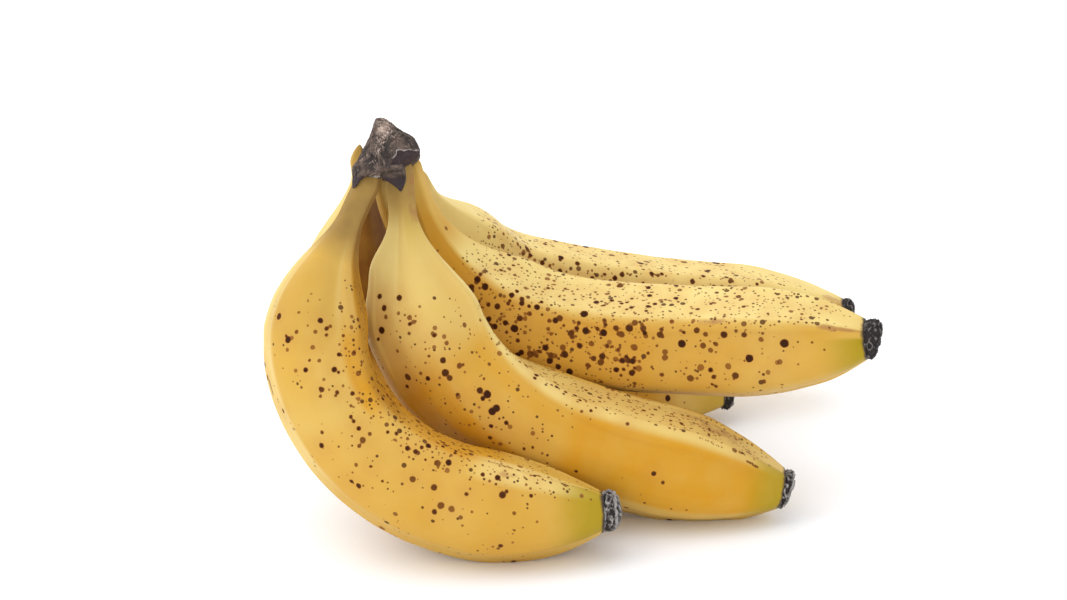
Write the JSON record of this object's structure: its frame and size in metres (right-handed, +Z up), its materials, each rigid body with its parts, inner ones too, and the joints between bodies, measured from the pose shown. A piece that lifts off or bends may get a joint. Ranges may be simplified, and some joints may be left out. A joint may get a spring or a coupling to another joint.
{
  "type": "hand of bananas",
  "caption": "Hand of ripe speckled bananas joined at one dried crown, lying on its bellies with every finger curving the same way.",
  "frame": {"origin": "on the surface that the hand lies on, under the middle of its bounding box", "axes": "+X along the hand from the crown's side to the blossom ends, its longest extent; +Y to the back; +Z up, its shortest extent"},
  "size_m": [0.209, 0.1721, 0.1385],
  "materials": {
    "banana_skin": "smooth waxy ripe peel, deep yellow with brown freckles, green before the tip",
    "dried_crown": "dried, wrinkled and fibrous, dark brown to black",
    "blossom_scar": "dried flower scar, black with a grey crust"
  },
  "bodies": {
    "root": {"crown": "dried_crown", "finger_front_left": "banana_skin", "finger_front_right": "banana_skin", "finger_upper_front": "banana_skin", "finger_upper_back": "banana_skin", "finger_lower_left": "banana_skin", "finger_lower_back": "banana_skin", "blossom_end_front_left": "blossom_scar", "blossom_end_front_right": "blossom_scar", "blossom_end_upper_front": "blossom_scar", "blossom_end_upper_back": "blossom_scar", "blossom_end_lower_left": "blossom_scar", "blossom_end_lower_back": "blossom_scar"}
  },
  "joints": []
}
